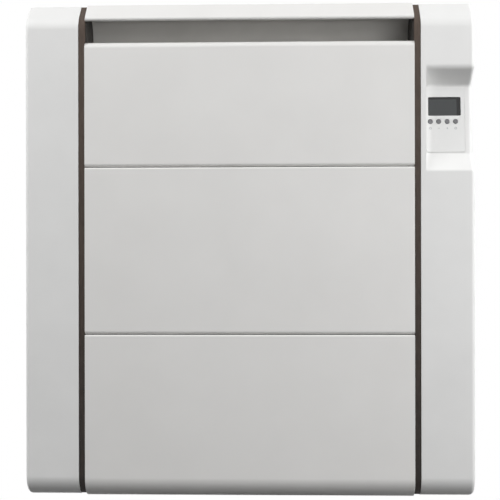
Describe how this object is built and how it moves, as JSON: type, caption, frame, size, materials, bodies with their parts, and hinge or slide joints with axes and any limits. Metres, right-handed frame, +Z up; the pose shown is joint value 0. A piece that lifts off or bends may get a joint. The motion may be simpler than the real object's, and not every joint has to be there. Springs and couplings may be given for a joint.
{
  "type": "electric wall radiator",
  "caption": "Slim white wall-hung electric radiator with flat front panels, a warm air slot and a recessed control pocket.",
  "frame": {"origin": "centre of the four wall screw holes, on the wall plane at the back of the bracket", "axes": "+X to the right seen from the front, +Y into the wall, +Z up"},
  "size_m": [0.523, 0.094, 0.58],
  "materials": {
    "enamel_white": "satin",
    "moulded_white": "satin",
    "seam_dark": "matt",
    "deflector_grey": "matt",
    "black_coat": "matt",
    "zinc_steel": "galvanised",
    "cast_aluminium": "cast",
    "rod_steel": "heat-tinted",
    "ceramic": "fired ceramic",
    "black_plastic": "moulded",
    "lead_insulation": "silicone",
    "mains_insulation": "soft",
    "ribbon_grey": "soft",
    "lens_smoke": "clear gloss",
    "display_glass": "gloss",
    "holder_white": "moulded",
    "button_grey": "satin",
    "board_green": "solder mask",
    "copper_wound": "taped winding",
    "capacitor_yellow": "moulded",
    "terminal_green": "moulded",
    "brass_tabs": "plain",
    "rocker_red": "gloss",
    "rubber_grey": "matt",
    "screw_zinc": "zinc plated"
  },
  "bodies": {
    "radiator": {"upper_front_panel": "enamel_white", "middle_front_panel": "enamel_white", "lower_front_panel": "enamel_white", "top_rail": "enamel_white", "intake_grille": "enamel_white", "left_end_cap": "moulded_white", "right_end_cap": "moulded_white", "control_fascia": "moulded_white", "left_end_frame": "seam_dark", "right_end_frame": "seam_dark", "outlet_deflector": "deflector_grey", "outlet_guard": "deflector_grey", "left_side_plate": "black_coat", "right_side_plate": "black_coat", "upper_cross_rail": "zinc_steel", "lower_cross_rail": "zinc_steel", "heat_shield": "zinc_steel", "rear_cover": "zinc_steel", "wall_bracket": "zinc_steel", "upper_heater_core": "cast_aluminium", "middle_heater_core": "cast_aluminium", "lower_heater_core": "cast_aluminium", "upper_heating_rod": "rod_steel", "middle_heating_rod": "rod_steel", "lower_heating_rod": "rod_steel", "rod_bushes": "ceramic", "thermal_cutout": "black_plastic", "relay": "black_plastic", "switch_housing": "black_plastic", "tact_switches": "black_plastic", "heater_wiring": "lead_insulation", "mains_wiring": "mains_insulation", "control_lead": "ribbon_grey", "display_lens": "lens_smoke", "display_panel": "display_glass", "backlight_holder": "holder_white", "room_sensor": "holder_white", "mains_terminal_block": "holder_white", "control_board": "board_green", "power_board": "board_green", "transformer": "copper_wound", "filter_capacitor": "capacitor_yellow", "board_terminals": "terminal_green", "switch_terminals": "brass_tabs", "cable_inlet": "rubber_grey", "wall_buffers": "rubber_grey", "cap_screws": "screw_zinc", "cover_screws": "screw_zinc", "core_screws": "screw_zinc", "power_board_screws": "screw_zinc", "control_board_screws": "screw_zinc"},
    "button_power": {"button_power": "button_grey"},
    "button_minus": {"button_minus": "button_grey"},
    "button_plus": {"button_plus": "button_grey"},
    "button_mode": {"button_mode": "button_grey"},
    "rocker": {"switch_rocker": "rocker_red"}
  },
  "joints": [
    {"name": "button_power_press", "type": "slide", "parent": "radiator", "child": "button_power", "axis": [0, 0.9962, -0.0866], "range_m": [0, 0.0005], "stiffness_N_per_m": 400},
    {"name": "button_minus_press", "type": "slide", "parent": "radiator", "child": "button_minus", "axis": [0, 0.9962, -0.0866], "range_m": [0, 0.0005], "stiffness_N_per_m": 400},
    {"name": "button_plus_press", "type": "slide", "parent": "radiator", "child": "button_plus", "axis": [0, 0.9962, -0.0866], "range_m": [0, 0.0005], "stiffness_N_per_m": 400},
    {"name": "button_mode_press", "type": "slide", "parent": "radiator", "child": "button_mode", "axis": [0, 0.9962, -0.0866], "range_m": [0, 0.0005], "stiffness_N_per_m": 400},
    {"name": "rocker_tip", "type": "hinge", "parent": "radiator", "child": "rocker", "pos_m": [0.253, -0.052, -0.225], "axis": [0, 1, 0], "range_deg": [-16, 0]}
  ]
}
